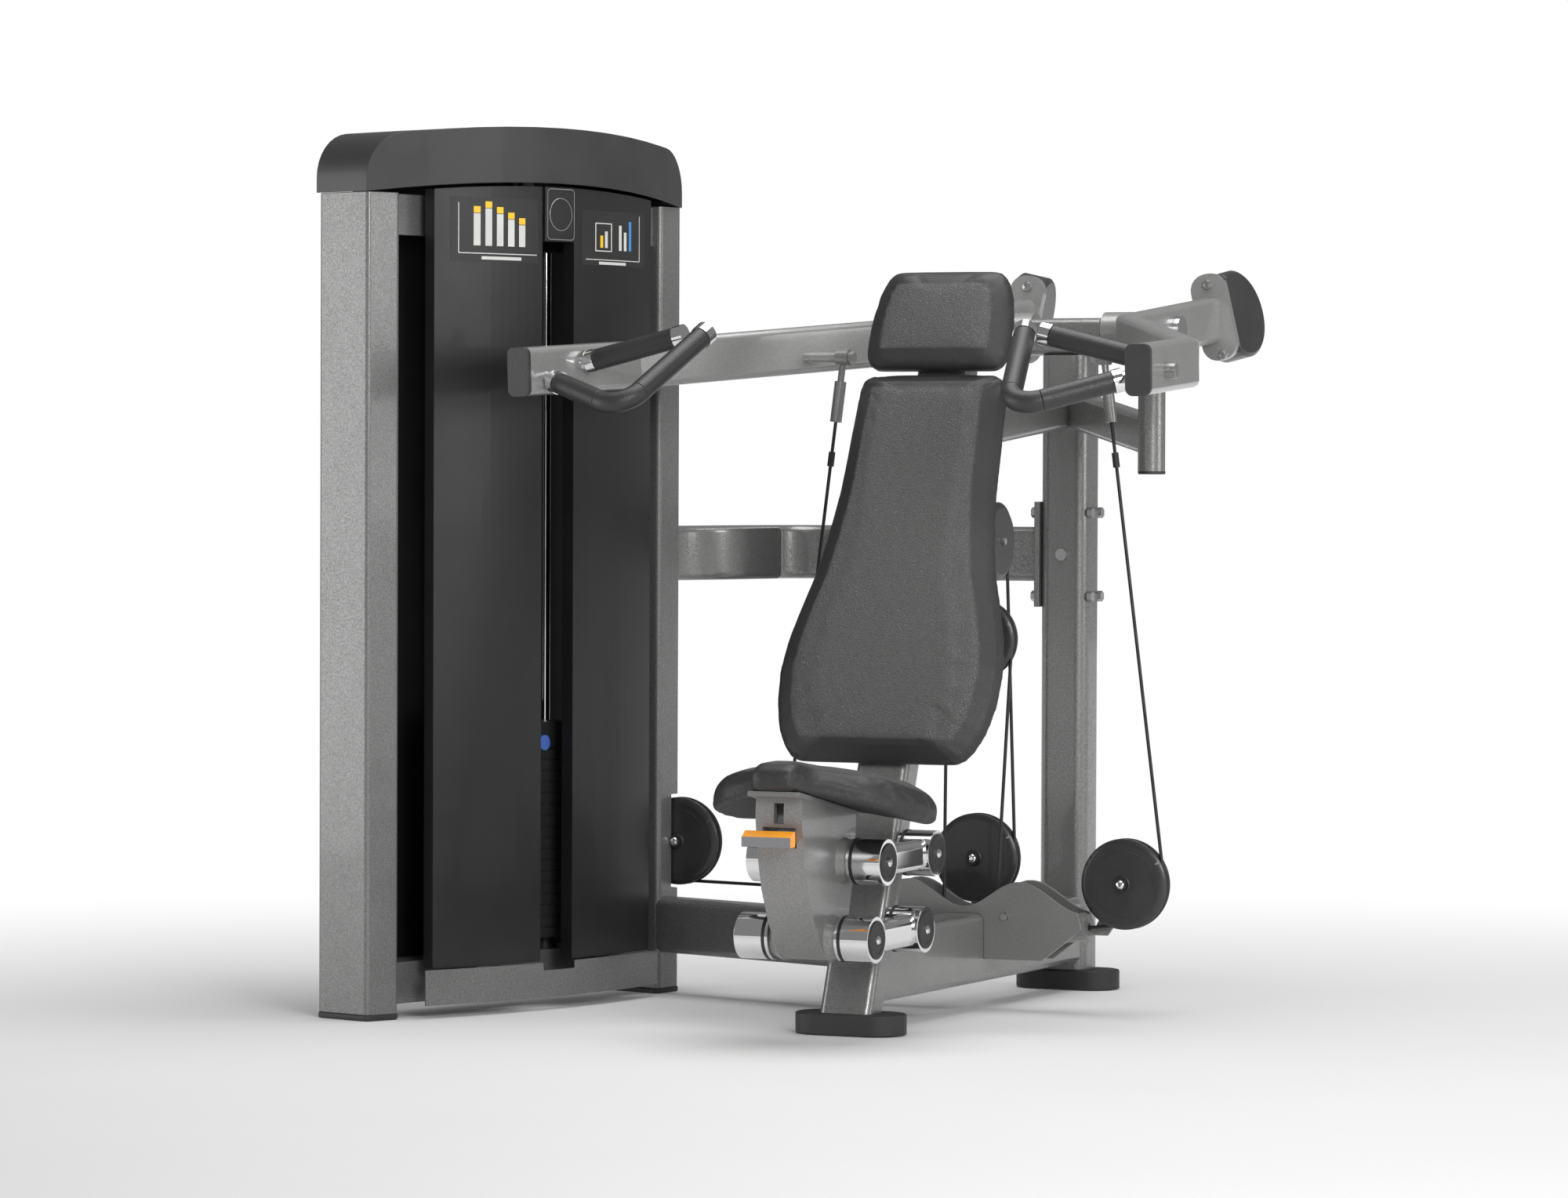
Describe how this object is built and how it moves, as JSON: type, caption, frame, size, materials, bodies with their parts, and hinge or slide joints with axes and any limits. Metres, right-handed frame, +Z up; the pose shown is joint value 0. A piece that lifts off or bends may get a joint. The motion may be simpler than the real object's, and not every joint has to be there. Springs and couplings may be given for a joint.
{
  "type": "shoulder press machine",
  "caption": "Seated shoulder press with a side weight tower, reclined back pads, a height-adjustable seat and counterweighted press arms driven through cables and pulleys.",
  "frame": {"origin": "on the floor under the middle of the rear post", "axes": "+Z up, +Y to the machine's back, the user faces -Y, the tower stands on the -X side"},
  "size_m": [1.5424, 1.7135, 1.556],
  "materials": {
    "tower_paint": "fine metallic silver paint",
    "frame_paint": "dark metallic grey paint",
    "cap_plastic": "fine grained matt plastic",
    "black_sheet": "black powder coat",
    "panel": "satin charcoal",
    "badge": "satin grey",
    "chrome": "polished",
    "black_plastic": "matt",
    "stack_iron": "black coat",
    "selector": "gloss blue",
    "steel": "zinc plated",
    "rubber": "matt black",
    "cable": "coated cable",
    "leatherette": "fine grained charcoal",
    "pulley": "moulded nylon",
    "casting": "painted casting",
    "lever": "orange with a grey front",
    "weight": "black coat"
  },
  "bodies": {
    "frame": {"near_column": "tower_paint", "far_column": "tower_paint", "tower_cap": "cap_plastic", "tower_crossbars": "frame_paint", "back_panel": "black_sheet", "near_panel": "panel", "far_panel": "panel", "badge_plate": "badge", "kick_plate": "tower_paint", "guide_rods": "chrome", "rod_mounts": "black_plastic", "stack_plates": "stack_iron", "upper_beam": "frame_paint", "lower_beam": "frame_paint", "frame_bolts": "steel", "rear_post": "frame_paint", "front_post": "frame_paint", "base_tube": "frame_paint", "rubber_feet": "rubber", "pivot_head": "frame_paint", "pivot_shaft": "chrome", "stop_arms": "frame_paint", "stop_buffers": "rubber", "cable_plates": "frame_paint", "pulley_brackets": "frame_paint", "pivot_pins": "steel", "arm_cable": "cable", "stack_cable": "cable", "back_pad": "leatherette", "head_pad": "leatherette", "pad_boards": "black_plastic"},
    "right_arm": {"right_arm": "frame_paint", "right_handle": "chrome", "right_grips": "rubber", "right_counterweight": "weight"},
    "left_arm": {"left_arm": "frame_paint", "left_handle": "chrome", "left_grips": "rubber", "left_counterweight": "weight"},
    "right_rod_end": {"right_rod_end": "steel"},
    "left_rod_end": {"left_rod_end": "steel"},
    "stack": {"stack_head": "stack_iron"},
    "selector": {"selector_pin": "selector"},
    "floating_block": {"floating_block": "frame_paint"},
    "floating_pulley": {"floating_pulley": "pulley"},
    "right_swivel_pulley": {"right_swivel_pulley": "pulley"},
    "left_swivel_pulley": {"left_swivel_pulley": "pulley"},
    "right_turn_pulley": {"right_turn_pulley": "pulley"},
    "left_turn_pulley": {"left_turn_pulley": "pulley"},
    "mid_pulley": {"mid_pulley": "pulley"},
    "top_wheel": {"top_wheel": "pulley"},
    "tower_pulley": {"tower_pulley": "pulley"},
    "cap_pulley_side": {"cap_pulley_side": "pulley"},
    "cap_pulley_mid": {"cap_pulley_mid": "pulley"},
    "cable_clamps": {"cable_clamps": "rubber"},
    "seat_lower_links": {"lower_links": "chrome"},
    "seat_upper_links": {"upper_links": "chrome"},
    "seat": {"seat_carriage": "casting", "seat_pad": "leatherette"},
    "lever": {"release_lever": "lever"}
  },
  "joints": [
    {"name": "right_arm_press", "type": "hinge", "parent": "frame", "child": "right_arm", "pos_m": [0, 0, 1.214], "axis": [-1, 0, 0], "range_deg": [0, 38], "deforming": ["arm_cable", "stack_cable"]},
    {"name": "left_arm_press", "type": "hinge", "parent": "frame", "child": "left_arm", "pos_m": [0, 0, 1.214], "axis": [-1, 0, 0], "range_deg": [0, 38]},
    {"name": "right_rod_end_tilt", "type": "hinge", "parent": "right_arm", "child": "right_rod_end", "pos_m": [0.25, -0.47, 1.156], "axis": [-1, 0, 0], "range_deg": [-39, 0]},
    {"name": "left_rod_end_tilt", "type": "hinge", "parent": "left_arm", "child": "left_rod_end", "pos_m": [-0.25, -0.47, 1.156], "axis": [-1, 0, 0], "range_deg": [-39, 0]},
    {"name": "stack_lift", "type": "slide", "parent": "frame", "child": "stack", "axis": [0, 0, 1], "range_m": [0, 0.3023]},
    {"name": "clamp_travel", "type": "slide", "parent": "frame", "child": "cable_clamps", "axis": [0, 0.2073, 0.9783], "range_m": [0, 0.3089]},
    {"name": "selector_slide", "type": "slide", "parent": "stack", "child": "selector", "axis": [0.9613, -0.2756, 0], "range_m": [0, 0.08]},
    {"name": "block_travel", "type": "slide", "parent": "frame", "child": "floating_block", "axis": [0, 0, -1], "range_m": [0, 0.3023]},
    {"name": "floating_pulley_spin", "type": "hinge", "parent": "floating_block", "child": "floating_pulley", "pos_m": [0.016, -0.47, 0.657], "axis": [0, 1, 0], "continuous": true},
    {"name": "right_swivel_spin", "type": "hinge", "parent": "frame", "child": "right_swivel_pulley", "pos_m": [0.296, -0.47, 0.231], "axis": [0, -1, 0], "range_deg": [0, 242]},
    {"name": "right_turn_spin", "type": "hinge", "parent": "frame", "child": "right_turn_pulley", "pos_m": [0.08, -0.47, 0.168], "axis": [0, -1, 0], "range_deg": [0, 578]},
    {"name": "left_swivel_spin", "type": "hinge", "parent": "frame", "child": "left_swivel_pulley", "pos_m": [-0.296, -0.47, 0.231], "axis": [0, 1, 0], "range_deg": [0, 242]},
    {"name": "left_turn_spin", "type": "hinge", "parent": "frame", "child": "left_turn_pulley", "pos_m": [-0.08, -0.47, 0.168], "axis": [0, 1, 0], "range_deg": [0, 578]},
    {"name": "top_wheel_spin", "type": "hinge", "parent": "frame", "child": "top_wheel", "pos_m": [0.016, -0.408, 0.829], "axis": [1, 0, 0], "range_deg": [0, 280]},
    {"name": "mid_pulley_spin", "type": "hinge", "parent": "frame", "child": "mid_pulley", "pos_m": [-0.037, -0.346, 0.26], "axis": [0, -1, 0], "range_deg": [0, 242]},
    {"name": "tower_pulley_spin", "type": "hinge", "parent": "frame", "child": "tower_pulley", "pos_m": [-0.60488, -0.3963, 0.276], "axis": [0, -1, 0], "range_deg": [0, 242]},
    {"name": "cap_side_spin", "type": "hinge", "parent": "frame", "child": "cap_pulley_side", "pos_m": [-0.68294, -0.42056, 1.478], "axis": [-0.9702, 0.2424, 0], "range_deg": [0, 693]},
    {"name": "cap_mid_spin", "type": "hinge", "parent": "frame", "child": "cap_pulley_mid", "pos_m": [-0.764, -0.74496, 1.478], "axis": [-0.9702, 0.2424, 0], "range_deg": [0, 693]},
    {"name": "seat_height", "type": "hinge", "parent": "frame", "child": "seat_lower_links", "pos_m": [0, -0.95386, 0.17836], "axis": [-1, 0, 0], "range_deg": [-10, 28]},
    {"name": "seat_upper_swing", "type": "hinge", "parent": "frame", "child": "seat_upper_links", "pos_m": [0, -0.90658, 0.30481], "axis": [-1, 0, 0], "range_deg": [-10, 28]},
    {"name": "seat_level", "type": "hinge", "parent": "seat_lower_links", "child": "seat", "pos_m": [0, -1.16186, 0.17536], "axis": [-1, 0, 0], "range_deg": [-28, 10]},
    {"name": "lever_lift", "type": "hinge", "parent": "seat", "child": "lever", "pos_m": [0, -1.27558, 0.34881], "axis": [-1, 0, 0], "range_deg": [0, 14]}
  ],
  "couplings": [
    {"joint": "left_arm_press", "follows": "right_arm_press", "ratio": 1},
    {"joint": "right_rod_end_tilt", "follows": "right_arm_press", "ratio": -1},
    {"joint": "left_rod_end_tilt", "follows": "right_arm_press", "ratio": -1},
    {"joint": "stack_lift", "follows": "right_arm_press", "m_per_rad": 0.455},
    {"joint": "clamp_travel", "follows": "right_arm_press", "m_per_rad": 0.46493},
    {"joint": "block_travel", "follows": "right_arm_press", "m_per_rad": 0.455},
    {"joint": "right_swivel_spin", "follows": "right_arm_press", "ratio": 6.3194},
    {"joint": "right_turn_spin", "follows": "right_arm_press", "ratio": 15.167},
    {"joint": "left_swivel_spin", "follows": "right_arm_press", "ratio": 6.3194},
    {"joint": "left_turn_spin", "follows": "right_arm_press", "ratio": 15.167},
    {"joint": "top_wheel_spin", "follows": "right_arm_press", "ratio": 7.3387},
    {"joint": "mid_pulley_spin", "follows": "right_arm_press", "ratio": 6.3194},
    {"joint": "tower_pulley_spin", "follows": "right_arm_press", "ratio": 6.3194},
    {"joint": "cap_side_spin", "follows": "right_arm_press", "ratio": 18.2},
    {"joint": "cap_mid_spin", "follows": "right_arm_press", "ratio": 18.2},
    {"joint": "seat_upper_swing", "follows": "seat_height", "ratio": 1},
    {"joint": "seat_level", "follows": "seat_height", "ratio": -1}
  ]
}
